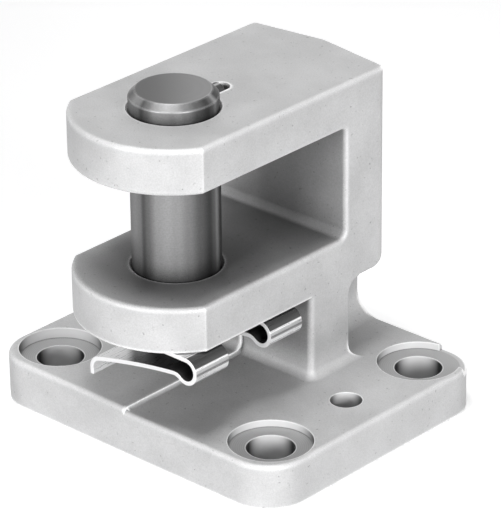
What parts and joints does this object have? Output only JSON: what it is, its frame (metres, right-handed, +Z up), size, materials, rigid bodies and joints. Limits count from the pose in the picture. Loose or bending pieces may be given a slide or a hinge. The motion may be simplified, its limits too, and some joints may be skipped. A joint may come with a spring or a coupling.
{
  "type": "clevis foot",
  "caption": "Right-angle clevis foot: bolt-down base with an offset forked yoke, plain clevis pin across the fork, anti-rotation dowel and spring retaining clip.",
  "frame": {"origin": "centre of the four-hole pattern on the underside of the base plate", "axes": "+Z up and along the pin axis, away from the mounting surface; -Y out of the open mouth of the fork; +X across the fork towards the rolled fold of the clip"},
  "size_m": [0.052, 0.0471, 0.0501],
  "materials": {
    "cast_aluminium": "fine blasted die casting, matt",
    "pin_steel": "turned and ground, satin",
    "dowel_steel": "oiled spring steel",
    "spring_steel": "rolled strip, satin"
  },
  "bodies": {
    "bracket": {"bracket_casting": "cast_aluminium"},
    "pin": {"clevis_pin": "pin_steel", "spring_dowel_pin": "dowel_steel"},
    "clip": {"retaining_clip": "spring_steel"}
  },
  "joints": [
    {"name": "clip_pull", "type": "slide", "parent": "bracket", "child": "clip", "axis": [-1, 0, 0], "range_m": [0, 0.03], "deforming": ["retaining_clip"]},
    {"name": "pin_lift", "type": "slide", "parent": "bracket", "child": "pin", "axis": [0, 0, 1], "range_m": [0, 0.038]}
  ]
}
